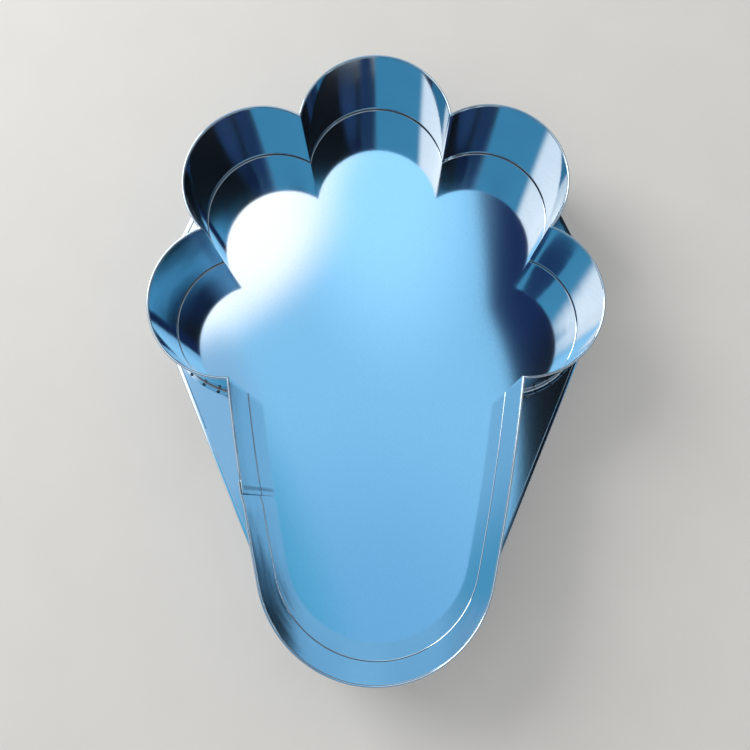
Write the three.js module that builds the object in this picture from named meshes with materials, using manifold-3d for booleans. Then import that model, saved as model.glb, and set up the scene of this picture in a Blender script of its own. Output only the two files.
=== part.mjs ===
// Shaped cake pan of bright tinplate: five round lobes over a tapering body with a round tip.
// One wall strip, hemmed at the rim and flanged at the foot, is spot welded to a hemmed base plate.
// Millimetres. +Z is up, +Y points to the top lobe, the origin lies under the middle of the base plate.
import * as THREE from 'three';
import { mergeVertices } from 'three/addons/utils/BufferGeometryUtils.js';
import Module from 'manifold-3d';

const wasm = await Module();
wasm.setup();
const { degToRad } = THREE.MathUtils;

// Sheet and fits
const SHEET = 0.5; // thickness of the tinplate
const JOINT_GAP = 0.3; // space between two lapped sheets, filled at the welds
const FIT_GAP = 0.3; // clearance between edges that lie side by side

// Plan of the pan, measured to the inside faces
const PAN_HEIGHT = 60; // table to rim
const LOBE_RADIUS = 42;
const LOBE_OVERLAP = 14; // how far two neighbouring lobe circles run into each other
const LOBE_PITCH = degToRad(51); // angle from lobe to lobe about the middle of their ring
const NECK_ANGLE = degToRad(3); // how far a low lobe runs past straight down, to where the side starts
const BODY_LENGTH = 153.5; // middle of the tip to the middle of the ring of lobes
const TIP_RADIUS = 60;
const SIDE_RADIUS = 1300; // the sides bow out slightly

// Folds of the wall strip
const RIM_HEM_HEIGHT = 4; // the rim is folded outward and down by this much
const RIM_HEM_GAP = 0.3; // daylight inside the rim's fold
const FOOT_BEND = 0.8; // inner radius of the bend above the flange
const FLANGE_REACH = 3.4; // inside face of the wall to the edge of the flange
const SKIRT_TUCK = 0.4; // how far the plain foot of an inward corner runs into the ends of the flange

// Lapped seam in the left side
const SEAM_ABOVE_TIP = 37; // row of welds above the middle of the tip
const SEAM_LAP = 7; // overlap of the strip's two ends
const SEAM_JOGGLE = 5; // length over which the outer end steps back into line
const SEAM_WELDS = 9;
const SEAM_WELD_RADIUS = 1.5;
const SEAM_WELD_RING = 1.05; // radius of the raised ring round the electrode's mark
const SEAM_WELD_PROUD = 0.12; // height of a weld's rim over the sheet
const SEAM_WELD_DISH = 0.1; // depth of the electrode's mark
const SEAM_WELD_MARGIN = 1.5; // clear sheet between the row's end welds and the folds
const WELD_FIT = 0.15; // clearance round a weld in its holes

// Base plate with straight hemmed edges, given by the directions they face
const BASE_EDGES = [90, 57, 23.5, 0, -23.5, -57, -90].map(degToRad);
const BASE_HEM_WIDTH = 2.4;
const BASE_HEM_GAP = 0.3; // daylight inside the plate's fold

// Welds between flange and base plate, counted along each stretch of the outline
const LOBE_WELDS = 4;
const SIDE_WELDS = 4;
const TIP_WELDS = 7;
const FOOT_WELD_RADIUS = 0.7;

// Facets
const ARC_STEP = degToRad(9);
const CHORD_LIMIT = 30; // longest facet on the nearly straight sides
const FOLD_FACETS = 4; // facets across a half-round fold
const BEND_FACETS = 3; // facets across the quarter-round foot bend
const WELD_FACETS = 10;

const tinplate = new THREE.MeshStandardMaterial({ color: 0xc6ced6, roughness: 0.18, metalness: 1 });
const basePlate = new THREE.MeshStandardMaterial({ color: 0xbfcad4, roughness: 0.26, metalness: 1 });
const weldMark = new THREE.MeshStandardMaterial({ color: 0x9aa4ae, roughness: 0.4, metalness: 1 });

// Heights of the foot
const footLevel = SHEET + JOINT_GAP;
const bendRadius = SHEET + FOOT_BEND;
const bendTop = footLevel + bendRadius;

const UP = new THREE.Vector3(0, 0, 1);
const AXLE = new THREE.Vector3(0, 1, 0); // lathe and cylinder axis before turning

function polar(centre, radius, angle) {
  return new THREE.Vector2(Math.cos(angle), Math.sin(angle)).multiplyScalar(radius).add(centre);
}

function bearing(from, to) {
  return Math.atan2(to.y - from.y, to.x - from.x);
}

function mirrored(point) {
  return new THREE.Vector2(-point.x, point.y);
}

// Lobes, listed anticlockwise from the low right one, and the inward corners between them
const tipCentre = new THREE.Vector2(0, 0);
const ringCentre = new THREE.Vector2(0, BODY_LENGTH);
const lobeSpacing = 2 * LOBE_RADIUS - LOBE_OVERLAP;
const ringRadius = lobeSpacing / (2 * Math.sin(LOBE_PITCH / 2));
const cornerReach =
  ringRadius * Math.cos(LOBE_PITCH / 2) + Math.sqrt(LOBE_RADIUS ** 2 - (lobeSpacing / 2) ** 2);
const lobeAngle = (step) => Math.PI / 2 + step * LOBE_PITCH;
const lobeCentres = [-2, -1, 0, 1, 2].map((step) => polar(ringCentre, ringRadius, lobeAngle(step)));
const lobeCorners = [-1.5, -0.5, 0.5, 1.5].map((step) => polar(ringCentre, cornerReach, lobeAngle(step)));
const rightNeck = polar(lobeCentres[0], LOBE_RADIUS, -Math.PI / 2 - NECK_ANGLE);
const corners = [rightNeck, ...lobeCorners, mirrored(rightNeck)];

// A side is a wide arc through the neck that runs smoothly into the tip
function sideCentre(neck) {
  const toTip = SIDE_RADIUS - TIP_RADIUS;
  const span = neck.distanceTo(tipCentre);
  const along = (toTip ** 2 - SIDE_RADIUS ** 2 + span ** 2) / (2 * span);
  const across = Math.sqrt(toTip ** 2 - along ** 2);
  const direction = neck.clone().normalize();
  const square = new THREE.Vector2(-direction.y, direction.x);
  return direction.multiplyScalar(along).addScaledVector(square, across);
}
const rightSide = sideCentre(rightNeck);
const leftSide = mirrored(rightSide);
const tipStart = bearing(leftSide, tipCentre) + 2 * Math.PI;
const tipEnd = bearing(rightSide, tipCentre) + 2 * Math.PI;
const neckOnSide = bearing(rightSide, rightNeck);

// The seam on the left side, as angles about that side's centre
const seamAngle = Math.PI - Math.asin((SEAM_ABOVE_TIP - leftSide.y) / SIDE_RADIUS);
const onSide = (length) => length / SIDE_RADIUS;
const outerEnd = seamAngle - onSide(SEAM_LAP / 2);
const innerEnd = seamAngle + onSide(SEAM_LAP / 2);
const foldsEnd = outerEnd - onSide(FIT_GAP);
const stepStart = innerEnd + onSide(FIT_GAP);
const stepEnd = stepStart + onSide(SEAM_JOGGLE);
const lapStep = SHEET + JOINT_GAP;

// How far the strip lies outside its own line, because it laps over its other end
function lapOffset(angle) {
  return lapStep * THREE.MathUtils.clamp((stepEnd - angle) / (stepEnd - stepStart), 0, 1);
}

// An arc of the outline: stops are angles that every sheet sampled along it shares
function arc(centre, radius, stops, offset = () => 0) {
  return { centre, radius, stops, offset };
}

function arcPoint(a, angle) {
  const out = new THREE.Vector2(Math.cos(angle), Math.sin(angle));
  return { at: polar(a.centre, a.radius + a.offset(angle), angle), out };
}

// Points along an arc from one of its stops to another
function arcPoints(a, first, last) {
  const points = [arcPoint(a, a.stops[first])];
  for (let stop = first; stop < last; stop += 1) {
    const from = a.stops[stop];
    const sweep = a.stops[stop + 1] - from;
    const facets = Math.ceil(Math.max(sweep / ARC_STEP, (sweep * a.radius) / CHORD_LIMIT));
    for (let facet = 1; facet <= facets; facet += 1) {
      points.push(arcPoint(a, from + (sweep * facet) / facets));
    }
  }
  return points;
}

// Two stretches joined end to start: at an inward corner the outward directions meet in a mitre
function mitre(one, other) {
  return one.clone().add(other).divideScalar(1 + one.dot(other));
}

function joined(stretches) {
  const path = [...stretches[0]];
  for (const stretch of stretches.slice(1)) {
    const end = path.pop();
    path.push({ at: end.at, out: mitre(end.out, stretch[0].out) }, ...stretch.slice(1));
  }
  return path;
}

// The flange is notched back at an inward corner so that its two sides stay clear of each other
function notch(one, other) {
  return FLANGE_REACH * Math.tan(one.angleTo(other) / 2) + FIT_GAP;
}

function facing(centre, corner) {
  return corner.clone().sub(centre).normalize();
}
const lobeNotch = notch(facing(lobeCentres[0], corners[1]), facing(lobeCentres[1], corners[1]));
const neckNotch = notch(facing(lobeCentres[0], rightNeck), facing(rightSide, rightNeck));

function lobeArc(index) {
  const centre = lobeCentres[index];
  const from = bearing(centre, corners[index]);
  const turn = bearing(centre, corners[index + 1]) - from;
  const to = from + THREE.MathUtils.euclideanModulo(turn, 2 * Math.PI);
  const startNotch = index === 0 ? neckNotch : lobeNotch;
  const endNotch = index === lobeCentres.length - 1 ? neckNotch : lobeNotch;
  return arc(centre, LOBE_RADIUS, [
    from,
    from + startNotch / LOBE_RADIUS,
    from + (startNotch + SKIRT_TUCK) / LOBE_RADIUS,
    to - (endNotch + SKIRT_TUCK) / LOBE_RADIUS,
    to - endNotch / LOBE_RADIUS,
    to,
  ]);
}

// The whole strip, anticlockwise from its outer end at the seam round to its inner end
const lowerLeft = arc(leftSide, SIDE_RADIUS, [outerEnd, stepStart, stepEnd, tipStart], lapOffset);
const tip = arc(tipCentre, TIP_RADIUS, [tipStart, tipEnd]);
const right = arc(rightSide, SIDE_RADIUS, [
  tipEnd - 2 * Math.PI,
  neckOnSide - onSide(neckNotch + SKIRT_TUCK),
  neckOnSide - onSide(neckNotch),
  neckOnSide,
]);
const lobes = lobeCentres.map((centre, index) => lobeArc(index));
const upperLeft = arc(leftSide, SIDE_RADIUS, [
  Math.PI - neckOnSide,
  Math.PI - neckOnSide + onSide(neckNotch),
  Math.PI - neckOnSide + onSide(neckNotch + SKIRT_TUCK),
  foldsEnd - onSide(FIT_GAP),
  foldsEnd,
  innerEnd,
]);
const wholeArc = (a) => arcPoints(a, 0, a.stops.length - 1);
const foldedPath = joined([
  ...[lowerLeft, tip, right, ...lobes].map(wholeArc),
  arcPoints(upperLeft, 0, 4),
]);
const plainTail = arcPoints(upperLeft, 3, 5);
const footStretches = {
  lower_left_side: wholeArc(lowerLeft),
  tip: wholeArc(tip),
  right_side: arcPoints(right, 0, 2),
  upper_left_side: arcPoints(upperLeft, 1, 4),
};
lobes.forEach((lobe, index) => {
  footStretches[`lobe_${index + 1}`] = arcPoints(lobe, 1, 4);
});
const cornerPairs = [right, ...lobes].map((a, index) => [a, [...lobes, upperLeft][index]]);
const cornerPaths = cornerPairs.map(([before, after]) => {
  const last = before.stops.length - 1;
  return joined([arcPoints(before, last - 2, last), arcPoints(after, 0, 2)]);
});

// Round folds as section points, from one angle to another
function fold(centreOut, centreUp, radius, from, to, facets) {
  const points = [];
  for (let facet = 0; facet <= facets; facet += 1) {
    const angle = from + ((to - from) * facet) / facets;
    points.push([centreOut + radius * Math.cos(angle), centreUp + radius * Math.sin(angle)]);
  }
  return points;
}

// Wall and rim hem: [outward, height], anticlockwise
function wallSection() {
  const outer = SHEET + RIM_HEM_GAP / 2;
  const inner = RIM_HEM_GAP / 2;
  const level = PAN_HEIGHT - outer;
  const hemFoot = PAN_HEIGHT - RIM_HEM_HEIGHT;
  return [
    [0, bendTop],
    [SHEET, bendTop],
    ...fold(outer, level, inner, Math.PI, 0, 2),
    [outer + inner, hemFoot],
    [2 * outer, hemFoot],
    ...fold(outer, level, outer, 0, Math.PI, FOLD_FACETS),
  ];
}

// Foot bend and flange, with a tongue that runs up into the wall
function footSection() {
  const tongue = bendTop + SHEET;
  return [
    [0, tongue],
    ...fold(bendRadius, bendTop, bendRadius, Math.PI, 1.5 * Math.PI, BEND_FACETS),
    [FLANGE_REACH, footLevel],
    [FLANGE_REACH, footLevel + SHEET],
    ...fold(bendRadius, bendTop, FOOT_BEND, 1.5 * Math.PI, Math.PI, BEND_FACETS),
    [SHEET, tongue],
  ];
}

function flatSection(from, to) {
  return [
    [0, from],
    [SHEET, from],
    [SHEET, to],
    [0, to],
  ];
}

function geometryOf(positions, index) {
  const geometry = new THREE.BufferGeometry();
  geometry.setAttribute('position', new THREE.Float32BufferAttribute(positions, 3));
  geometry.setIndex(index);
  return geometry;
}

// A section carried along an open path, with both ends closed
function sweep(path, section) {
  const size = section.length;
  const positions = [];
  for (const { at, out } of path) {
    for (const [outward, height] of section) {
      positions.push(at.x + out.x * outward, at.y + out.y * outward, height);
    }
  }
  const index = [];
  for (let ring = 0; ring < path.length - 1; ring += 1) {
    for (let side = 0; side < size; side += 1) {
      const a = ring * size + side;
      const b = ring * size + ((side + 1) % size);
      index.push(a, a + size, b + size, a, b + size, b);
    }
  }
  const outline = section.map(([outward, height]) => new THREE.Vector2(outward, height));
  const end = (path.length - 1) * size;
  for (const [a, b, c] of THREE.ShapeUtils.triangulateShape(outline, [])) {
    index.push(a, b, c, end + a, end + c, end + b);
  }
  return geometryOf(positions, index);
}

// Rings of a profile round a convex plate, closed by the plate's flat faces
function plate(outline, profile) {
  const count = outline.length;
  const positions = [];
  for (const [outward, height] of profile) {
    for (const { at, out } of outline) {
      positions.push(at.x + out.x * outward, at.y + out.y * outward, height);
    }
  }
  const index = [];
  for (let ring = 0; ring < profile.length - 1; ring += 1) {
    for (let corner = 0; corner < count; corner += 1) {
      const a = ring * count + corner;
      const b = ring * count + ((corner + 1) % count);
      index.push(a, b, b + count, a, b + count, a + count);
    }
  }
  const top = (profile.length - 1) * count;
  for (let corner = 1; corner < count - 1; corner += 1) {
    index.push(0, corner + 1, corner, top, top + corner, top + corner + 1);
  }
  return geometryOf(positions, index);
}

function toSolid(geometry) {
  const bare = geometry.clone();
  bare.deleteAttribute('normal');
  bare.deleteAttribute('uv');
  const merged = mergeVertices(bare);
  return new wasm.Manifold(
    new wasm.Mesh({
      numProp: 3,
      vertProperties: new Float32Array(merged.attributes.position.array),
      triVerts: new Uint32Array(merged.index.array),
    }),
  );
}

function fromSolid(solid) {
  const mesh = solid.getMesh();
  return geometryOf(Array.from(mesh.vertProperties), Array.from(mesh.triVerts));
}

// The places of the seam's welds, and a turn that lays a lathe's axis through the lap
function seamWeldPlaces() {
  const { at, out } = arcPoint(arc(leftSide, SIDE_RADIUS, []), seamAngle);
  const middle = (2 * SHEET + JOINT_GAP) / 2;
  const lowest = bendTop + SEAM_WELD_MARGIN + SEAM_WELD_RADIUS;
  const highest = PAN_HEIGHT - RIM_HEM_HEIGHT - SEAM_WELD_MARGIN - SEAM_WELD_RADIUS;
  const places = [];
  for (let weld = 0; weld < SEAM_WELDS; weld += 1) {
    const height = lowest + ((highest - lowest) * weld) / (SEAM_WELDS - 1);
    places.push(new THREE.Vector3(at.x + out.x * middle, at.y + out.y * middle, height));
  }
  const turn = new THREE.Quaternion().setFromUnitVectors(AXLE, new THREE.Vector3(out.x, out.y, 0));
  return { places, turn };
}
const seam = seamWeldPlaces();

// Wall strip: one bent sheet with its rim hem, foot flanges and holes for the seam's welds
function wallStripGeometry() {
  let solid = toSolid(sweep(foldedPath, wallSection()));
  solid = solid.add(toSolid(sweep(plainTail, flatSection(footLevel, PAN_HEIGHT))));
  for (const stretch of Object.values(footStretches)) {
    solid = solid.add(toSolid(sweep(stretch, footSection())));
  }
  for (const path of cornerPaths) {
    solid = solid.add(toSolid(sweep(path, flatSection(footLevel, bendTop + SHEET))));
  }
  const holeRadius = SEAM_WELD_RADIUS + WELD_FIT;
  const holeLength = 2 * (2 * SHEET + JOINT_GAP);
  for (const place of seam.places) {
    const hole = new THREE.CylinderGeometry(holeRadius, holeRadius, holeLength, WELD_FACETS);
    hole.applyQuaternion(seam.turn);
    hole.translate(place.x, place.y, place.z);
    solid = solid.subtract(toSolid(hole));
  }
  return fromSolid(solid);
}

// Base plate: a convex sheet whose edges stand clear of the flange and are folded over on top
const wallCircles = [
  ...lobeCentres.map((centre) => ({ centre, radius: LOBE_RADIUS })),
  { centre: tipCentre, radius: TIP_RADIUS },
];
const edgeMargin = FLANGE_REACH + FIT_GAP + BASE_HEM_WIDTH;
function edgeDistance(direction) {
  return Math.max(...wallCircles.map(({ centre, radius }) => centre.dot(direction) + radius)) + edgeMargin;
}

function baseOutline() {
  const rightEdges = [...BASE_EDGES].reverse();
  const leftEdges = BASE_EDGES.slice(1, -1).map((angle) => Math.PI - angle);
  const edges = [...rightEdges, ...leftEdges].map((angle) => polar(tipCentre, 1, angle));
  return edges.map((one, index) => {
    const other = edges[(index + 1) % edges.length];
    const square = one.cross(other);
    const at = new THREE.Vector2(
      (edgeDistance(one) * other.y - edgeDistance(other) * one.y) / square,
      (edgeDistance(other) * one.x - edgeDistance(one) * other.x) / square,
    );
    return { at, out: mitre(one, other) };
  });
}

function baseProfile() {
  const outer = SHEET + BASE_HEM_GAP / 2;
  const inner = BASE_HEM_GAP / 2;
  return [
    ...fold(-outer, outer, outer, -Math.PI / 2, Math.PI / 2, FOLD_FACETS),
    [-BASE_HEM_WIDTH, 2 * outer],
    [-BASE_HEM_WIDTH, 2 * outer - SHEET],
    ...fold(-outer, outer, inner, Math.PI / 2, -Math.PI / 2, 2),
  ];
}

// Welds of the seam: plugs through both sheets, dished at each end by the electrodes
function seamWeldGeometry() {
  const end = (2 * SHEET + JOINT_GAP) / 2 + SEAM_WELD_PROUD;
  const profile = [
    [0, SEAM_WELD_DISH - end],
    [SEAM_WELD_RING, -end],
    [SEAM_WELD_RADIUS, SEAM_WELD_PROUD - end],
    [SEAM_WELD_RADIUS, end - SEAM_WELD_PROUD],
    [SEAM_WELD_RING, end],
    [0, end - SEAM_WELD_DISH],
  ].map(([radius, height]) => new THREE.Vector2(radius, height));
  return new THREE.LatheGeometry(profile, WELD_FACETS);
}

// Welds of the foot: flat nuggets between the flange and the base plate
function footWeldPlaces(a, first, last, count) {
  const outward = (bendRadius + FLANGE_REACH) / 2;
  const from = a.stops[first];
  const pitch = (a.stops[last] - from) / count;
  const places = [];
  for (let weld = 0; weld < count; weld += 1) {
    const { at, out } = arcPoint(a, from + (weld + 0.5) * pitch);
    places.push(new THREE.Vector3(at.x + out.x * outward, at.y + out.y * outward, SHEET + JOINT_GAP / 2));
  }
  return places;
}
const weldsOverSeam = Math.floor(SIDE_WELDS / 2);
const footWelds = {
  tip: footWeldPlaces(tip, 0, 1, TIP_WELDS),
  right_side: footWeldPlaces(right, 0, 2, SIDE_WELDS),
  left_side: [
    ...footWeldPlaces(upperLeft, 1, 3, weldsOverSeam),
    ...footWeldPlaces(lowerLeft, 2, 3, SIDE_WELDS - weldsOverSeam),
  ],
};
lobes.forEach((lobe, index) => {
  footWelds[`lobe_${index + 1}`] = footWeldPlaces(lobe, 1, 4, LOBE_WELDS);
});

const pan = new THREE.Group();
const outline = baseOutline();
const lengthwise = outline.map(({ at }) => at.y);
pan.position.y = -(Math.max(...lengthwise) + Math.min(...lengthwise)) / 2;

function addPiece(name, geometry, material) {
  const piece = new THREE.Mesh(geometry, material);
  piece.name = name;
  pan.add(piece);
  return piece;
}

addPiece('base_plate', plate(outline, baseProfile()), basePlate);
addPiece('wall_strip', wallStripGeometry(), tinplate);
seam.places.forEach((place, index) => {
  const weld = addPiece(`seam_weld_${index + 1}`, seamWeldGeometry(), weldMark);
  weld.position.copy(place);
  weld.quaternion.copy(seam.turn);
});
const upright = new THREE.Quaternion().setFromUnitVectors(AXLE, UP);
for (const [stretch, places] of Object.entries(footWelds)) {
  places.forEach((place, index) => {
    const nugget = new THREE.CylinderGeometry(FOOT_WELD_RADIUS, FOOT_WELD_RADIUS, JOINT_GAP, WELD_FACETS);
    const weld = addPiece(`${stretch}_weld_${index + 1}`, nugget, weldMark);
    weld.position.copy(place);
    weld.quaternion.copy(upright);
  });
}

export default pan;
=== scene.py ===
"""Shaped cake pan: a bent strip of bright tinplate, spot welded to a hemmed base plate."""

import math

import bmesh
import bpy
from bpy.props import FloatProperty, FloatVectorProperty, IntProperty, PointerProperty
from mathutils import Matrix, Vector


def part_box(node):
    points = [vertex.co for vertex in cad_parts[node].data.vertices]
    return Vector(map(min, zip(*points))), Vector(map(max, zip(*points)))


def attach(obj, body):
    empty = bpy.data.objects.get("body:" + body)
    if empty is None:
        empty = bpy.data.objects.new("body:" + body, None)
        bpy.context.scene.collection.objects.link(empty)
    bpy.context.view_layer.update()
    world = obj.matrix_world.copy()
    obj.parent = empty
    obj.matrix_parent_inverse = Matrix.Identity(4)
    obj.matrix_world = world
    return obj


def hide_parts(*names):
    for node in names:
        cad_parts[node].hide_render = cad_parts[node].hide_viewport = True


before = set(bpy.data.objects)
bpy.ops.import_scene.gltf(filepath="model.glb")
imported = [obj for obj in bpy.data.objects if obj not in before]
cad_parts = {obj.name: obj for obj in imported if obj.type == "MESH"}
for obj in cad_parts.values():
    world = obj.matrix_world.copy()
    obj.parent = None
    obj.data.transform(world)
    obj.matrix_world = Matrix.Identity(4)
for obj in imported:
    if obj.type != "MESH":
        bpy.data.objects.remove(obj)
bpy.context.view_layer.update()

bl_info = {
    "name": "Shaped cake pan",
    "version": (1, 0, 0),
    "blender": (4, 5, 0),
    "location": "View3D > Sidebar > Cake pan",
    "description": "Bends, hems and spot welds a shaped cake pan out of bright tinplate",
    "category": "Object",
}

MM = 0.001
NEAR = 0.01 * MM  # two points closer than this are one place
TURN = 2 * math.pi
UP = Vector((0, 0, 1))
BODY = "root"
LOBES = 5

# Facets of the bent sheet
ARC_FACET = math.radians(1.5)
SIDE_FACET = 6 * MM
CORNER_FACET = 3.4 * MM  # beside an inward corner, where the folds are mitred
EDGE_ROW = 0.5 * MM  # a narrow row beside an edge or a fold keeps the sheet flat up to it
FLANGE_ROW = 0.3 * MM  # the same on the flange, beside the foot bend
WALL_ROWS = 3
LAP_FACETS = 2
HEM_FACETS = 8
BEND_FACETS = 6
WELD_FACETS = 24

# Blunt edges of the sheet: their width as a share of its thickness, and how sharp an edge has to be
BLUNT_SHARE = 0.25
BLUNT_FACETS = 2
BLUNT_ANGLE = math.radians(60)

# Edges that turn less than this are shaded smooth
STRIP_SMOOTH = math.radians(25)
PLATE_SMOOTH = math.radians(20)
WELD_SMOOTH = math.radians(50)

# Steps of a seam weld's mark: shares of its slope and height up to the ring, then of ring and dish
RING_STEPS = ((0.6, 0.8), (0.4, 0.2))
DISH_STEPS = ((0.3, 0.4), (0.3, 0.6))
RING_EDGE = 0.95  # faces past this share of the ring's radius stay bright
FOOT_STEP = 0.25  # each inset of a foot weld's mark, as a share of its radius
FOOT_DISH = 0.6  # depth of that mark's dish, as a share of its height

PLATE_MIDDLE = 20 * MM  # the plate's large face has its middle this close to the middle of its box

# Directions that the base plate's edges face, from the top lobe down the right side to the tip
BASE_EDGES = [math.radians(degrees) for degrees in (90, 57, 23.5, 0, -23.5, -57, -90)]


def linear(hex_colour):
    """An sRGB hex colour as linear red, green and blue."""
    channels = [int(hex_colour[at : at + 2], 16) / 255 for at in (1, 3, 5)]
    return [c / 12.92 if c <= 0.04045 else ((c + 0.055) / 1.055) ** 2.4 for c in channels]


def size(name, description, millimetres):
    """A length property, given in millimetres and held in metres."""
    return FloatProperty(
        name=name, description=description, default=millimetres * MM, precision=5, unit="LENGTH"
    )


def angle(name, description, degrees):
    """An angle property, given in degrees."""
    return FloatProperty(
        name=name, description=description, default=math.radians(degrees), subtype="ANGLE"
    )


def colour(name, description, hex_colour):
    """A colour property, given as sRGB hex."""
    return FloatVectorProperty(
        name=name, description=description, default=linear(hex_colour), subtype="COLOR"
    )


class PanSizes(bpy.types.PropertyGroup):
    """Sizes of the pan: the construction model's, with the foot and the weld marks pressed tighter"""

    height: FloatProperty(
        name="Height", description="Underside to rim", default=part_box("wall_strip")[1].z, unit="LENGTH"
    )
    sheet: size("Sheet", "Thickness of the tinplate", 0.5)
    joint_gap: size("Joint gap", "Space between two lapped sheets", 0.3)
    fit_gap: size("Fit gap", "Clearance between edges that lie side by side", 0.3)
    lobe_radius: size("Lobe radius", "Inside radius of a lobe", 42)
    lobe_overlap: size("Lobe overlap", "How far two lobe circles run into each other", 14)
    lobe_pitch: angle("Lobe pitch", "Angle from lobe to lobe about the middle of their ring", 51)
    neck_angle: angle("Neck angle", "How far a low lobe runs past straight down", 3)
    body_length: size("Body length", "Middle of the tip to the middle of the ring of lobes", 153.5)
    tip_radius: size("Tip radius", "Inside radius of the round tip", 60)
    side_radius: size("Side radius", "Radius of the slightly bowed sides", 1300)
    rim_hem_height: size("Rim hem height", "How far the rim is folded down outside", 4)
    rim_hem_gap: size("Rim hem gap", "Daylight inside the rim's fold", 0.3)
    foot_bend: size("Foot bend", "Inner radius of the bend above the flange", 1.6)
    foot_gap: size("Foot gap", "What is left under the flange once it is pressed down", 0.02)
    flange_reach: size("Flange reach", "Inside of the wall to the edge of the flange", 3.4)
    seam_above_tip: size("Seam above tip", "Row of seam welds above the middle of the tip", 37)
    seam_lap: size("Seam lap", "Overlap of the strip's two ends", 7)
    tail_gap: size("Plain end gap", "Daylight under the strip's plain end, inside the lap", 0.6)
    seam_joggle: size("Seam joggle", "Length over which the outer end steps back", 5)
    base_hem_width: size("Base hem width", "Width of the base plate's folded edge", 2.4)
    base_hem_gap: size("Base hem gap", "Daylight inside the base plate's fold", 0.3)
    seam_welds: IntProperty(name="Seam welds", description="Spot welds in the lapped seam", default=9)
    seam_weld_radius: size("Seam weld radius", "Outer radius of a seam weld's mark", 1.4)
    seam_weld_ring: size("Seam weld ring", "Radius of the raised ring of a seam weld", 1.1)
    seam_weld_proud: size("Seam weld height", "Height of that ring over the sheet", 0.05)
    seam_weld_dish: size("Seam weld dish", "Depth of the electrode's mark", 0.03)
    foot_weld_pitch: size("Foot weld pitch", "Spacing of the marks along the flange", 10)
    foot_weld_radius: size("Foot weld radius", "Radius of a foot weld's mark", 1.15)
    foot_weld_proud: size("Foot weld height", "Height of a foot weld's ring over the flange", 0.1)


class PanColours(bpy.types.PropertyGroup):
    """Colours of the pan and its stage"""

    tin: colour("Tin", "Bright tin of the walls", "#BEC9D1")
    tin_dull: colour("Dull tin", "Duller patches of the walls", "#B4C0C9")
    base: colour("Base", "Bright tin of the base plate", "#DADFE3")
    base_dull: colour("Dull base", "Duller grain of the base plate", "#D1D7DC")
    weld: colour("Weld", "Tin pressed by the welder", "#3E454D")
    weld_burnt: colour("Burnt weld", "Specks of burnt tin", "#15181C")
    floor: colour("Floor", "Painted board under the pan", "#DCDAD6")


class PanStage(bpy.types.PropertyGroup):
    """Camera and light"""

    lens: FloatProperty(name="Lens", description="Focal length on a 36 mm sensor, in mm", default=37.44)
    camera_place: FloatVectorProperty(
        name="Camera place",
        description="Where the camera hangs over the pan",
        default=(0.00443, -0.07946, 0.4643),
        subtype="TRANSLATION",
    )
    camera_turn: FloatVectorProperty(
        name="Camera turn",
        description="Tilt, roll and turn of the camera, from looking straight down",
        default=[math.radians(degrees) for degrees in (9.304, 0.672, -0.155)],
        subtype="EULER",
    )
    floor_size: size("Floor size", "Side of the painted board", 40000)
    lamp_place: FloatVectorProperty(
        name="Lamp place",
        description="Middle of the soft lamp",
        default=(-1.1, 0.8, 1.0),
        subtype="TRANSLATION",
    )
    lamp_size: size("Lamp size", "Side of the soft lamp", 900)
    lamp_power: FloatProperty(name="Lamp power", description="Power of the lamp, in watts", default=16)
    surround: FloatProperty(name="Surround", description="Level of the pale surround", default=0.62)


def polar(centre, radius, at):
    """The point of the plan at a radius and an angle from a centre."""
    return centre + radius * Vector((math.cos(at), math.sin(at)))


def bearing(start, end):
    """The angle in plan from one point to another."""
    return math.atan2(end.y - start.y, end.x - start.x)


def upright(point, z):
    """A point of the plan at a height."""
    return Vector((point.x, point.y, z))


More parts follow.
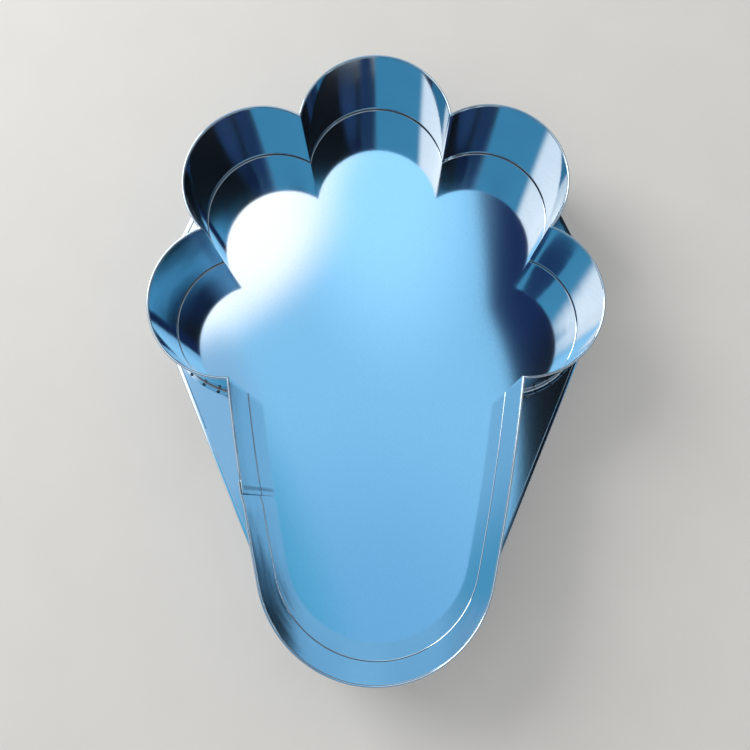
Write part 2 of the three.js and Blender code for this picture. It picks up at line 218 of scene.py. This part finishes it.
class Plan:
    """Where the outline's arcs lie, worked out from the sizes, along the inside of the wall"""

    def __init__(self, s):
        self.foot = s.sheet + s.foot_gap
        self.lap = s.sheet + s.joint_gap
        self.bend = s.sheet + s.foot_bend
        self.bend_top = self.foot + self.bend
        margin = s.flange_reach + s.fit_gap + s.base_hem_width
        self.tip = Vector((0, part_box("base_plate")[0].y + s.tip_radius + margin))
        self.place_lobes(s)
        self.place_sides(s)
        circles = [(lobe, s.lobe_radius) for lobe in self.lobes] + [(self.tip, s.tip_radius)]
        turns = BASE_EDGES + [math.pi - edge for edge in BASE_EDGES[1:-1]]
        self.edges = []
        for turn in turns:
            out = polar(Vector((0, 0)), 1, turn)
            reach = max(centre.dot(out) + radius for centre, radius in circles) + margin
            self.edges.append((out, reach))

    def place_lobes(self, s):
        """Centres of the lobes, and the inward corners from the right neck round to the left one."""
        ring = self.tip + Vector((0, s.body_length))
        spacing = 2 * s.lobe_radius - s.lobe_overlap
        half = s.lobe_pitch / 2
        radius = spacing / (2 * math.sin(half))
        reach = radius * math.cos(half) + math.sqrt(s.lobe_radius**2 - (spacing / 2) ** 2)
        turns = [math.pi / 2 + (lobe - (LOBES - 1) / 2) * s.lobe_pitch for lobe in range(LOBES)]
        self.lobes = [polar(ring, radius, turn) for turn in turns]
        neck = polar(self.lobes[0], s.lobe_radius, -math.pi / 2 - s.neck_angle)
        between = [polar(ring, reach, turn + half) for turn in turns[:-1]]
        self.corners = [neck, *between, Vector((-neck.x, neck.y))]

    def place_sides(self, s):
        """Each side is a wide arc through its neck that runs smoothly into the tip."""
        to_tip = s.side_radius - s.tip_radius
        span = self.corners[0] - self.tip
        along = (to_tip**2 - s.side_radius**2 + span.length_squared) / (2 * span.length)
        across = math.sqrt(to_tip**2 - along**2)
        forward = span.normalized()
        self.right = self.tip + along * forward + across * Vector((-forward.y, forward.x))
        self.left = Vector((-self.right.x, self.right.y))
        self.neck = bearing(self.right, self.corners[0])
        rise = self.tip.y + s.seam_above_tip - self.left.y
        self.seam = math.pi - math.asin(rise / s.side_radius)
        half = s.seam_lap / 2 / s.side_radius
        gap = s.fit_gap / s.side_radius
        self.outer_end = self.seam - half
        self.inner_end = self.seam + half
        self.folds_end = self.outer_end - gap
        self.step_start = self.inner_end + gap
        self.step_end = self.step_start + s.seam_joggle / s.side_radius
        first, second = self.lobes[:2]
        self.notches = [self.notch(s, self.corners[1], first, second)] * (LOBES + 1)
        self.notches[0] = self.notches[-1] = self.notch(s, self.corners[0], first, self.right)

    def notch(self, s, corner, one, other):
        """Length of wall beside an inward corner that has no flange."""
        return s.flange_reach * math.tan((corner - one).angle(corner - other) / 2) + s.fit_gap

    def in_notch(self, point, outward):
        """Whether a place that lies outward of the wall is beside an inward corner."""
        flat = point.xy
        reach = zip(self.corners, self.notches)
        return any((flat - corner).length < math.hypot(notch, outward) for corner, notch in reach)

    def in_tail(self, s, point):
        """Whether a place lies on the strip's plain end, inside the lap."""
        flat = point.xy
        at = bearing(self.left, flat) % TURN
        inner = (flat - self.left).length < s.side_radius + self.lap / 2
        return inner and flat.x < 0 and self.folds_end < at < self.inner_end

    def on_edge(self, point):
        """Whether a place lies on one of the base plate's straight edges."""
        return any(abs(point.xy.dot(out) - reach) < NEAR for out, reach in self.edges)


# Modelling helpers


def start_piece(name, add, **settings):
    """Adds a primitive with nothing else selected, and opens it in edit mode."""
    bpy.ops.object.select_all(action="DESELECT")
    add(**settings)
    piece = bpy.context.object
    piece.name = name
    piece.data.name = name
    bpy.ops.object.transform_apply(location=True, rotation=True, scale=True)
    bpy.ops.object.mode_set(mode="EDIT")
    bpy.ops.mesh.select_all(action="SELECT")
    return piece


def pick(piece, kind, test):
    """Selects the vertices, edges or polygons of a piece whose middle passes a test."""
    bpy.ops.object.mode_set(mode="OBJECT")
    mesh = piece.data
    for group in (mesh.vertices, mesh.edges, mesh.polygons):
        group.foreach_set("select", [False] * len(group))
    modes = ("vertices", "edges", "polygons")
    bpy.context.tool_settings.mesh_select_mode = [kind == mode for mode in modes]
    found = 0
    for part in getattr(mesh, kind):
        corners = [part.index] if kind == "vertices" else part.vertices
        middle = sum((mesh.vertices[corner].co for corner in corners), Vector()) / len(corners)
        part.select = test(middle)
        found += part.select
    if not found:
        raise RuntimeError(f"nothing to select on {piece.name}")
    bpy.ops.object.mode_set(mode="EDIT")


def draw_out(z):
    """Extrudes the selected edges up or down into a new strip."""
    bpy.ops.mesh.extrude_edges_move(TRANSFORM_OT_translate={"value": (0, 0, z)})


def fold_on(outward, up, lift):
    """Carries the selected edge on by one strip, outward and up.

    The strip is drawn straight up or down at first, so that its edge swells straight outward.
    """
    draw_out(lift)
    bpy.ops.transform.shrink_fatten(value=outward, use_even_offset=True)
    bpy.ops.transform.translate(value=(0, 0, up - lift))


def round_fold(radius, first, last, facets):
    """Steps outward and up round a fold, from one angle to another."""
    turns = [first + (last - first) * facet / facets for facet in range(facets + 1)]
    points = [(radius * math.cos(turn), radius * math.sin(turn)) for turn in turns]
    return [(b[0] - a[0], b[1] - a[1]) for a, b in zip(points, points[1:])]


def give_thickness(piece, sheet, side):
    """Thickens a skin into sheet metal with blunt edges.

    The metal grows to the side that the faces point to where side is 1, and to the other where it is -1.
    """
    bpy.ops.object.mode_set(mode="OBJECT")
    solid = piece.modifiers.new("Sheet", "SOLIDIFY")
    solid.thickness = sheet
    solid.offset = side
    solid.use_even_offset = True
    bpy.ops.object.modifier_apply(modifier=solid.name)
    blunt = piece.modifiers.new("Blunt edges", "BEVEL")
    blunt.width = sheet * BLUNT_SHARE
    blunt.segments = BLUNT_FACETS
    blunt.angle_limit = BLUNT_ANGLE
    bpy.ops.object.modifier_apply(modifier=blunt.name)


def finish_piece(piece, material, nodes, smooth):
    """Shades a closed piece, gives it its material and ties it to the frame."""
    bpy.ops.object.mode_set(mode="OBJECT")
    bpy.ops.object.select_all(action="DESELECT")
    piece.select_set(True)
    bpy.context.view_layer.objects.active = piece
    bpy.ops.object.shade_smooth_by_angle(angle=smooth)
    shell = bmesh.new()
    shell.from_mesh(piece.data)
    inside_out = shell.calc_volume(signed=True) <= 0
    shell.free()
    if inside_out:
        raise RuntimeError(f"{piece.name} is inside out")
    if not piece.data.materials:
        piece.data.materials.append(material)
    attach(piece, BODY)
    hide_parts(*nodes)


# Materials


def add_node(tree, kind, links=(), **settings):
    """Adds a node with its settings, and its sockets' values or links."""
    node = tree.nodes.new(kind)
    for name, value in settings.items():
        setattr(node, name, value)
    for name, value in dict(links).items():
        socket = node.inputs[name]
        if isinstance(value, bpy.types.NodeSocket):
            tree.links.new(value, socket)
        else:
            socket.default_value = value
    return node


def start_material(name):
    """An empty node material, its tree and the place of its surface."""
    material = bpy.data.materials.new(name)
    material.use_nodes = True
    tree = material.node_tree
    tree.nodes.clear()
    return material, tree, add_node(tree, "ShaderNodeTexCoord").outputs["Object"]


def end_material(tree, **sockets):
    """Adds the shader and the output."""
    links = {name.replace("_", " "): value for name, value in sockets.items()}
    shader = add_node(tree, "ShaderNodeBsdfPrincipled", links)
    add_node(tree, "ShaderNodeOutputMaterial", {"Surface": shader.outputs["BSDF"]})


def tinplate_bent(c):
    """Bright tinplate bent by hand: a clear mirror with faint rolling lines and shallow dents."""
    material, tree, place = start_material("bright_tinplate_bent")
    # Rolling lines run along the strip, drawn coarser than real so that they show
    line_length = 60 * MM
    line_pitch = 0.8 * MM
    along = add_node(
        tree,
        "ShaderNodeMapping",
        {"Vector": place, "Scale": (1 / line_length, 1 / line_length, 1 / line_pitch)},
    )
    lines = add_node(tree, "ShaderNodeTexNoise", {"Vector": along.outputs[0], "Scale": 1, "Detail": 3})
    # Bending over a former leaves shallow dents
    dent_pitch = 28 * MM
    dents = add_node(tree, "ShaderNodeTexNoise", {"Vector": place, "Scale": 1 / dent_pitch, "Detail": 1})
    tone = add_node(
        tree,
        "ShaderNodeMix",
        {"Factor": dents.outputs[0], "A": (*c.tin, 1), "B": (*c.tin_dull, 1)},
        data_type="RGBA",
    )
    gloss = add_node(
        tree, "ShaderNodeMapRange", {"Value": lines.outputs[0], "To Min": 0.03, "To Max": 0.07}
    )
    dented = add_node(tree, "ShaderNodeBump", {"Height": dents.outputs[0], "Distance": 0.08 * MM})
    lined = add_node(
        tree,
        "ShaderNodeBump",
        {"Height": lines.outputs[0], "Distance": 0.0012 * MM, "Normal": dented.outputs[0]},
    )
    end_material(
        tree, Base_Color=tone.outputs[2], Metallic=1, Roughness=gloss.outputs[0], Normal=lined.outputs[0]
    )
    return material


def tinplate_rolled(c):
    """Bright tinplate as rolled flat: a hazy mirror with a fine grain."""
    material, tree, place = start_material("bright_tinplate_rolled_flat")
    # The grain is drawn coarser than real so that it shows
    grain_width = 0.8 * MM
    grain = add_node(tree, "ShaderNodeTexNoise", {"Vector": place, "Scale": 1 / grain_width, "Detail": 1})
    # Thin flat sheet bulges a little
    bulge_width = 70 * MM
    bulge = add_node(tree, "ShaderNodeTexNoise", {"Vector": place, "Scale": 1 / bulge_width, "Detail": 0})
    tone = add_node(
        tree,
        "ShaderNodeMix",
        {"Factor": grain.outputs[0], "A": (*c.base, 1), "B": (*c.base_dull, 1)},
        data_type="RGBA",
    )
    gloss = add_node(
        tree, "ShaderNodeMapRange", {"Value": grain.outputs[0], "To Min": 0.06, "To Max": 0.08}
    )
    bulged = add_node(tree, "ShaderNodeBump", {"Height": bulge.outputs[0], "Distance": 0.06 * MM})
    grained = add_node(
        tree,
        "ShaderNodeBump",
        {"Height": grain.outputs[0], "Distance": 0.002 * MM, "Normal": bulged.outputs[0]},
    )
    end_material(
        tree, Base_Color=tone.outputs[2], Metallic=1, Roughness=gloss.outputs[0], Normal=grained.outputs[0]
    )
    return material


def tinplate_welded(c):
    """Tinplate pressed and heated by a spot welder: dull and dark, with specks of burnt tin."""
    material, tree, place = start_material("tinplate_spot_welded")
    speck_width = 0.5 * MM
    specks = add_node(tree, "ShaderNodeTexNoise", {"Vector": place, "Scale": 1 / speck_width, "Detail": 2})
    tone = add_node(
        tree,
        "ShaderNodeMix",
        {"Factor": specks.outputs[0], "A": (*c.weld, 1), "B": (*c.weld_burnt, 1)},
        data_type="RGBA",
    )
    gloss = add_node(
        tree, "ShaderNodeMapRange", {"Value": specks.outputs[0], "To Min": 0.25, "To Max": 0.5}
    )
    pitted = add_node(tree, "ShaderNodeBump", {"Height": specks.outputs[0], "Distance": 0.02 * MM})
    end_material(
        tree, Base_Color=tone.outputs[2], Metallic=1, Roughness=gloss.outputs[0], Normal=pitted.outputs[0]
    )
    return material


def board_painted(c):
    """Matt painted board: pale and even, with a hardly visible mottle."""
    material, tree, place = start_material("matt_painted_board")
    mottle_width = 40 * MM
    mottle = add_node(tree, "ShaderNodeTexNoise", {"Vector": place, "Scale": 1 / mottle_width, "Detail": 2})
    level = add_node(
        tree, "ShaderNodeMapRange", {"Value": mottle.outputs[0], "To Min": 0.97, "To Max": 1.03}
    )
    paint = add_node(
        tree, "ShaderNodeVectorMath", {0: tuple(c.floor), "Scale": level.outputs[0]}, operation="SCALE"
    )
    end_material(tree, Base_Color=paint.outputs[0], Roughness=0.7)
    return material


STOCK = {}


def stock(build, context):
    """A material that several pieces share, built once."""
    if build not in STOCK:
        STOCK[build] = build(context.scene.pan_colours)
    return STOCK[build]


# Wall strip


def strip_runs(s, plan):
    """The strip's arcs after its joggle, each as a centre, an angle to turn and a number of facets."""

    def run(centre, first, last, radius):
        turn = last - first
        facets = max(turn / ARC_FACET, turn * radius / SIDE_FACET)
        return centre, turn, max(1, round(facets))

    side = s.side_radius
    start = bearing(plan.left, plan.tip) % TURN
    end = bearing(plan.right, plan.tip) % TURN
    notch = plan.notches[0] / side
    runs = [
        run(plan.left, plan.step_end, start, side),
        run(plan.tip, start, end, s.tip_radius),
        run(plan.right, end - TURN, plan.neck - notch, side),
        (plan.right, notch, 1),
    ]
    for lobe, centre in enumerate(plan.lobes):
        first = bearing(centre, plan.corners[lobe])
        last = first + (bearing(centre, plan.corners[lobe + 1]) - first) % TURN
        corner = CORNER_FACET / s.lobe_radius
        before, after = (length / s.lobe_radius for length in plan.notches[lobe : lobe + 2])
        runs += [
            (centre, corner, 1),
            (centre, before - corner, 1),
            run(centre, first + before, last - after, s.lobe_radius),
            (centre, after - corner, 1),
            (centre, corner, 1),
        ]
    neck = math.pi - plan.neck
    edge = EDGE_ROW / side
    runs += [
        (plan.left, notch, 1),
        run(plan.left, neck + notch, plan.folds_end, side),
        run(plan.left, plan.folds_end, plan.inner_end - edge, side),
        (plan.left, edge, 1),
    ]
    return runs


def trace_strip(s, plan):
    """Spins one point round the centre of each arc in turn, which draws the strip's inside line."""
    side = s.side_radius
    outer = side + plan.lap
    start = upright(polar(plan.left, outer, plan.outer_end), plan.bend_top)
    piece = start_piece("wall_strip_bent", bpy.ops.mesh.primitive_plane_add, size=s.sheet, location=start)
    bpy.ops.mesh.merge(type="CENTER")
    bpy.ops.mesh.select_all(action="SELECT")
    joggle = polar(plan.left, side, plan.step_end) - polar(plan.left, outer, plan.step_start)
    edge = EDGE_ROW / side
    lap = plan.step_start - plan.outer_end
    runs = [(plan.left, edge, 1), (plan.left, lap - edge, LAP_FACETS), None, *strip_runs(s, plan)]
    for run in runs:
        if run is None:
            bpy.ops.mesh.extrude_vertices_move(TRANSFORM_OT_translate={"value": upright(joggle, 0)})
            continue
        centre, turn, facets = run
        # Spin turns clockwise where its angle is above nought
        bpy.ops.mesh.spin(steps=facets, angle=-turn, center=upright(centre, plan.bend_top), axis=UP)
    return piece


class PAN_OT_wall_strip(bpy.types.Operator):
    """Bends the wall strip round the outline, folds its rim over and flanges its foot"""

    bl_idname = "pan.wall_strip"
    bl_label = "Wall strip"

    def execute(self, context):
        s = context.scene.pan_sizes
        plan = Plan(s)
        piece = trace_strip(s, plan)
        hem = s.sheet + s.rim_hem_gap / 2
        hem_level = s.height - hem

        # The wall goes up in rows, with a narrow one beside each fold
        bpy.ops.mesh.select_all(action="SELECT")
        rise = hem_level - plan.bend_top
        between = [row * rise / WALL_ROWS for row in range(1, WALL_ROWS)]
        rows = [EDGE_ROW, *between, rise - EDGE_ROW, rise]
        for low, high in zip([0, *rows], rows):
            draw_out(high - low)
        bpy.ops.mesh.select_all(action="SELECT")
        bpy.ops.mesh.normals_make_consistent(inside=False)

        # The rim is folded outward and down, apart from the plain end inside the lap
        pick(piece, "edges", lambda p: abs(p.z - hem_level) < NEAR and not plan.in_tail(s, p))
        for outward, up in round_fold(hem, math.pi, 0, HEM_FACETS):
            fold_on(outward, up, s.sheet)
        draw_out(-EDGE_ROW)
        draw_out(s.height - s.rim_hem_height - hem_level + EDGE_ROW)
        pick(piece, "edges", lambda p: abs(p.z - hem_level) < NEAR and plan.in_tail(s, p))
        draw_out(hem)

        # The foot is bent outward, apart from that end, and flanged between the inward corners
        pick(piece, "edges", lambda p: abs(p.z - plan.bend_top) < NEAR and not plan.in_tail(s, p))
        for outward, up in round_fold(plan.bend, math.pi, 1.5 * math.pi, BEND_FACETS):
            fold_on(outward, up, -s.sheet)
        pick(piece, "edges", lambda p: abs(p.z - plan.foot) < NEAR and not plan.in_notch(p, plan.bend))
        fold_on(FLANGE_ROW, 0, -s.sheet)
        fold_on(s.flange_reach - plan.bend - FLANGE_ROW, 0, -s.sheet)
        pick(piece, "edges", lambda p: abs(p.z - plan.bend_top) < NEAR and plan.in_tail(s, p))
        draw_out(s.sheet - plan.bend_top + s.tail_gap)

        give_thickness(piece, s.sheet, 1)
        finish_piece(piece, stock(tinplate_bent, context), ["wall_strip"], STRIP_SMOOTH)
        return {"FINISHED"}


# Base plate


class PAN_OT_base_plate(bpy.types.Operator):
    """Trims the base plate to its straight edges and folds them over on top"""

    bl_idname = "pan.base_plate"
    bl_label = "Base plate"

    def execute(self, context):
        s = context.scene.pan_sizes
        plan = Plan(s)
        top = 2 * s.sheet + s.base_hem_gap
        low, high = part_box("base_plate")
        middle = ((low + high) / 2).xy
        blank = 2 * (high - low).length
        add = bpy.ops.mesh.primitive_plane_add
        piece = start_piece("base_plate_hemmed", add, size=blank, location=upright(middle, top))
        for out, reach in plan.edges:
            bpy.ops.mesh.select_all(action="SELECT")
            bpy.ops.mesh.bisect(
                plane_co=upright(out * reach, 0), plane_no=upright(out, 0), clear_outer=True
            )

        # A lip on top, a side all round and the plate itself below
        bpy.ops.mesh.select_all(action="SELECT")
        bpy.ops.mesh.inset(thickness=s.base_hem_width, use_even_offset=True)
        bpy.ops.mesh.delete(type="ONLY_FACE")
        pick(piece, "edges", plan.on_edge)
        draw_out(-top)
        bpy.ops.mesh.edge_face_add()

        # The side is rounded into a fold
        pick(piece, "edges", lambda p: plan.on_edge(p) and abs(p.z - top / 2) > top / 2 - NEAR)
        bpy.ops.mesh.bevel(offset=top / 2, segments=BEND_FACETS, affect="EDGES", clamp_overlap=False)
        bpy.ops.mesh.select_all(action="SELECT")
        bpy.ops.mesh.remove_doubles(threshold=NEAR)
        bpy.ops.mesh.normals_make_consistent(inside=False)

        # A narrow row beside the fold keeps the large face flat
        pick(piece, "polygons", lambda p: abs(p.z) < NEAR and (p.xy - middle).length < PLATE_MIDDLE)
        bpy.ops.mesh.inset(thickness=EDGE_ROW, use_even_offset=True)

        give_thickness(piece, s.sheet, -1)
        finish_piece(piece, stock(tinplate_rolled, context), ["base_plate"], PLATE_SMOOTH)
        return {"FINISHED"}


# Spot welds


def dish_end(piece, middle, out, depth, steps):
    """Shapes one end of a round plug by insets, each with a step outward."""
    pick(piece, "polygons", lambda p: (p - middle).dot(out) > depth - NEAR)
    for inset, step in steps:
        bpy.ops.mesh.inset(thickness=inset)
        bpy.ops.transform.translate(value=out * step)


class PAN_OT_seam_welds(bpy.types.Operator):
    """Presses the row of spot welds that closes the strip's lapped seam"""

    bl_idname = "pan.seam_welds"
    bl_label = "Seam welds"

    def execute(self, context):
        s = context.scene.pan_sizes
        plan = Plan(s)
        names = [f"seam_weld_{number + 1}" for number in range(s.seam_welds)]
        places = [(low + high) / 2 for low, high in map(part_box, names)]
        half = s.sheet + s.joint_gap / 2
        out = upright(polar(Vector((0, 0)), 1, plan.seam), 0)
        first = start_piece(
            "seam_weld_mark_1",
            bpy.ops.mesh.primitive_cylinder_add,
            vertices=WELD_FACETS,
            radius=s.seam_weld_radius,
            depth=2 * half,
            location=places[0],
            rotation=(0, math.pi / 2, plan.seam),
        )
        slope = s.seam_weld_radius - s.seam_weld_ring
        steps = [(slope * inward, s.seam_weld_proud * up) for inward, up in RING_STEPS]
        steps += [(s.seam_weld_ring * inward, -s.seam_weld_dish * down) for inward, down in DISH_STEPS]
        for side in (out, -out):
            dish_end(first, places[0], side, half, steps)

        # Only the dish is burnt, the ring round it stays bright
        for finish in (tinplate_welded, tinplate_bent):
            first.data.materials.append(stock(finish, context))

        def on_ring(p):
            return (p - places[0]).cross(out).length > s.seam_weld_ring * RING_EDGE

        pick(first, "polygons", on_ring)
        first.active_material_index = 1
        bpy.ops.object.material_slot_assign()
        bpy.ops.object.mode_set(mode="OBJECT")
        pieces = [first]
        for number, (place, last) in enumerate(zip(places[1:], places), 2):
            bpy.ops.object.duplicate_move(TRANSFORM_OT_translate={"value": place - last})
            bpy.ops.object.transform_apply(location=True, rotation=False, scale=False)
            pieces.append(bpy.context.object)
            pieces[-1].name = f"seam_weld_mark_{number}"
            pieces[-1].data.name = pieces[-1].name
        for piece, name in zip(pieces, names):
            finish_piece(piece, stock(tinplate_welded, context), [name], WELD_SMOOTH)
        return {"FINISHED"}


class PAN_OT_foot_welds(bpy.types.Operator):
    """Presses the spot welds that hold the flange to the base plate, stretch by stretch"""

    bl_idname = "pan.foot_welds"
    bl_label = "Foot welds"

    def execute(self, context):
        s = context.scene.pan_sizes
        plan = Plan(s)
        stretches = {"tip": plan.tip, "right_side": plan.right, "left_side": plan.left}
        for lobe, centre in enumerate(plan.lobes, 1):
            stretches[f"lobe_{lobe}"] = centre
        for stretch, centre in stretches.items():
            nodes = sorted(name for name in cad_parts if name.startswith(f"{stretch}_weld_"))
            self.press_row(context, stretch, nodes, self.row(s, centre, nodes))
        return {"FINISHED"}

    def row(self, s, centre, nodes):
        """Places of a stretch's welds, with more between them at the pitch of the marks."""
        known = [((low + high) / 2).xy for low, high in map(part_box, nodes)]
        turns = sorted(bearing(centre, place) % TURN for place in known)
        if turns[-1] - turns[0] > math.pi:
            turns = sorted((turn + math.pi) % TURN - math.pi for turn in turns)
        radius = (known[0] - centre).length
        row = []
        for first, last in zip(turns, turns[1:]):
            parts = max(1, round((last - first) * radius / s.foot_weld_pitch))
            row += [polar(centre, radius, first + (last - first) * part / parts) for part in range(parts)]
        return [*row, polar(centre, radius, turns[-1])]

    def press_row(self, context, stretch, nodes, row):
        """One mark from the plate up to the flange's top, then copies of it along the row."""
        s = context.scene.pan_sizes
        top = 2 * s.sheet + s.foot_gap
        half = (top - s.sheet) / 2
        middle = upright(row[0], s.sheet + half)
        piece = start_piece(
            f"{stretch}_weld_marks",
            bpy.ops.mesh.primitive_cylinder_add,
            vertices=WELD_FACETS // 2,
            radius=s.foot_weld_radius,
            depth=2 * half,
            location=middle,
        )
        step = s.foot_weld_radius * FOOT_STEP
        steps = [(step, s.foot_weld_proud), (step, 0), (step, -s.foot_weld_proud * FOOT_DISH)]
        dish_end(piece, middle, UP, half, steps)
        bpy.ops.mesh.select_all(action="SELECT")
        for place, last in zip(row[1:], row):
            bpy.ops.mesh.duplicate_move(TRANSFORM_OT_translate={"value": upright(place - last, 0)})
        finish_piece(piece, stock(tinplate_welded, context), nodes, WELD_SMOOTH)


# Stage

SENSOR = 36  # width of the camera's sensor, in millimetres
NEAREST = 10 * MM  # the camera sees nothing closer than this
LOWEST = 0.05  # a lower ray than this sees the cards as if it rose this steeply

# Soft oval cards that the tin mirrors, each lying over those before it. A place is x and y, in metres
# sideways for each metre up. Then come half the width and height, the turn in degrees, the share of
# the card over which its edge fades, a colour and a level.
CARDS = [
    ((0.000, 0.000), (3.600, 3.600), 0, 0.30, "#262B32", 1.00),  # dark band low round the pan
    ((0.000, 0.000), (1.600, 1.600), 0, 0.10, "#D5DADF", 1.20),  # pale band over that
    ((0.020, 0.000), (0.600, 0.600), 0, 0.04, "#A8C0E0", 0.02),  # black card past the right side
    ((0.000, 0.660), (0.360, 0.170), 0, 0.10, "#F0F6FF", 1.20),  # white card past the top lobe
    ((0.010, 0.010), (0.415, 0.420), 0, 0.03, "#68C9FF", 1.00),  # blue card on the right
    ((0.035, 0.000), (0.355, 0.360), 0, 0.04, "#5587FF", 0.09),  # navy card on the right
    ((0.165, 0.270), (0.075, 0.190), 0, 0.08, "#5587FF", 0.11),  # upper end of the navy card
    ((0.250, 0.020), (0.090, 0.220), 0, 0.30, "#A8C0E0", 0.02),  # black shade over the navy card
    ((-0.463, 0.260), (0.600, 0.800), 0, 0.01, "#8ED3FF", 1.15),  # pale blue card overhead
    ((0.000, 0.080), (0.172, 0.280), 0, 0.02, "#8ED3FF", 1.15),  # pale blue card over the sides
    ((-0.018, 0.499), (0.122, 0.261), 9, 0.46, "#98D7FF", 1.53),  # paler over the top lobe
    ((-0.030, -0.240), (0.220, 0.250), 0, 0.65, "#80CAFF", 0.98),  # deeper over the tip
    ((-0.375, -0.513), (0.368, 0.756), 2, 0.09, "#68CDFF", 0.83),  # blue card past the tip, on the left
    ((-0.229, -0.291), (0.130, 0.057), -40, 0.10, "#629FFF", 0.21),  # navy card before that one
    ((0.130, -0.530), (0.100, 0.140), 0, 0.50, "#5C93E0", 0.26),  # deep blue card past the tip
    ((0.360, -0.400), (0.130, 0.050), 43, 0.50, "#5C93E0", 0.30),  # deep blue card at the lower right
    ((0.250, -0.385), (0.080, 0.030), 32, 0.30, "#5587FF", 0.08),  # navy card right of the tip
    ((-0.585, 0.398), (0.890, 0.400), 52, 0.12, "#F4F9FF", 1.85),  # white card at the upper left
    ((-0.159, 0.341), (0.057, 0.092), -37, 0.80, "#F4F9FF", 1.65),  # glow beside the white card
    ((-0.225, 0.085), (0.060, 0.130), 0, 0.25, "#9BD4FF", 0.95),  # pale blue card on the left
]

HORIZON = "#A6B6C6"  # what lies past the cards


def paint_world(context):
    """A pale surround, in which polished metal sees large soft cards."""
    world = bpy.data.worlds.new("studio")
    context.scene.world = world
    world.use_nodes = True
    tree = world.node_tree
    tree.nodes.clear()
    toward = add_node(tree, "ShaderNodeTexCoord").outputs["Generated"]
    height = add_node(tree, "ShaderNodeSeparateXYZ", {0: toward}).outputs["Z"]
    above = add_node(tree, "ShaderNodeMath", {0: height, 1: LOWEST}, operation="MAXIMUM").outputs[0]
    inverse = add_node(tree, "ShaderNodeMath", {0: 1.0, 1: above}, operation="DIVIDE").outputs[0]
    spread = add_node(
        tree, "ShaderNodeVectorMath", {0: toward, "Scale": inverse}, operation="SCALE"
    ).outputs[0]
    level = context.scene.pan_stage.surround
    seen = (*linear(HORIZON), 1)
    for (x, y), (across, along), turn, soft, hex_colour, strength in CARDS:
        card = add_node(
            tree,
            "ShaderNodeMapping",
            {
                "Vector": spread,
                "Location": (x, y, 1),
                "Rotation": (0, 0, math.radians(turn)),
                "Scale": (across, along, 1),
            },
            vector_type="TEXTURE",
        )
        out = add_node(tree, "ShaderNodeVectorMath", {0: card.outputs[0]}, operation="LENGTH")
        cover = add_node(
            tree,
            "ShaderNodeMapRange",
            {
                "Value": out.outputs["Value"],
                "From Min": 1 - soft,
                "From Max": 1 + soft,
                "To Min": 1,
                "To Max": 0,
            },
            interpolation_type="SMOOTHSTEP",
        )
        tint = (*(strength * channel for channel in linear(hex_colour)), 1)
        seen = add_node(
            tree, "ShaderNodeMix", {"Factor": cover.outputs[0], "A": seen, "B": tint}, data_type="RGBA"
        ).outputs[2]
    path = add_node(tree, "ShaderNodeLightPath")
    shown = add_node(
        tree,
        "ShaderNodeMix",
        {"Factor": path.outputs["Is Glossy Ray"], "A": (level, level, level, 1), "B": seen},
        data_type="RGBA",
    )
    sky = add_node(tree, "ShaderNodeBackground", {"Color": shown.outputs[2]})
    add_node(tree, "ShaderNodeOutputWorld", {"Surface": sky.outputs[0]})


class PAN_OT_stage(bpy.types.Operator):
    """Lays the floor and sets the light and the camera"""

    bl_idname = "pan.stage"
    bl_label = "Stage"

    def execute(self, context):
        scene = context.scene
        stage = scene.pan_stage
        floor = start_piece("floor", bpy.ops.mesh.primitive_plane_add, size=stage.floor_size)
        bpy.ops.object.mode_set(mode="OBJECT")
        floor.data.materials.append(stock(board_painted, context))

        paint_world(context)
        place = Vector(stage.lamp_place)
        bpy.ops.object.light_add(type="AREA", location=place)
        lamp = context.object
        lamp.name = "soft_lamp"
        lamp.data.size = stage.lamp_size
        lamp.data.energy = stage.lamp_power
        lamp.rotation_euler = place.to_track_quat("Z", "Y").to_euler()

        bpy.ops.object.camera_add(location=stage.camera_place)
        camera = context.object
        camera.name = "camera"
        camera.rotation_mode = "YXZ"
        camera.rotation_euler = stage.camera_turn
        camera.data.lens = stage.lens
        camera.data.sensor_width = SENSOR
        camera.data.clip_start = NEAREST
        scene.camera = camera
        scene.view_settings.view_transform = "Standard"
        return {"FINISHED"}


class PAN_PT_sidebar(bpy.types.Panel):
    """Lists the pan's pieces and sizes"""

    bl_idname = "PAN_PT_sidebar"
    bl_label = "Cake pan"
    bl_space_type = "VIEW_3D"
    bl_region_type = "UI"
    bl_category = "Cake pan"

    def draw(self, context):
        for operator in OPERATORS:
            self.layout.operator(operator.bl_idname)
        for group in (context.scene.pan_sizes, context.scene.pan_colours, context.scene.pan_stage):
            box = self.layout.box()
            for name in group.__annotations__:
                box.prop(group, name)


GROUPS = (PanSizes, PanColours, PanStage)
OPERATORS = (PAN_OT_wall_strip, PAN_OT_base_plate, PAN_OT_seam_welds, PAN_OT_foot_welds, PAN_OT_stage)
CLASSES = (*GROUPS, *OPERATORS, PAN_PT_sidebar)


def register():
    """Registers the classes and hangs the settings on the scene."""
    for each in CLASSES:
        bpy.utils.register_class(each)
    bpy.types.Scene.pan_sizes = PointerProperty(type=PanSizes)
    bpy.types.Scene.pan_colours = PointerProperty(type=PanColours)
    bpy.types.Scene.pan_stage = PointerProperty(type=PanStage)


def unregister():
    """Takes the settings and the classes away again."""
    del bpy.types.Scene.pan_stage
    del bpy.types.Scene.pan_colours
    del bpy.types.Scene.pan_sizes
    for each in reversed(CLASSES):
        bpy.utils.unregister_class(each)


def main():
    """Makes every piece and the stage."""
    register()
    bpy.ops.pan.wall_strip()
    bpy.ops.pan.base_plate()
    bpy.ops.pan.seam_welds()
    bpy.ops.pan.foot_welds()
    bpy.ops.pan.stage()


if __name__ == "__main__":
    main()
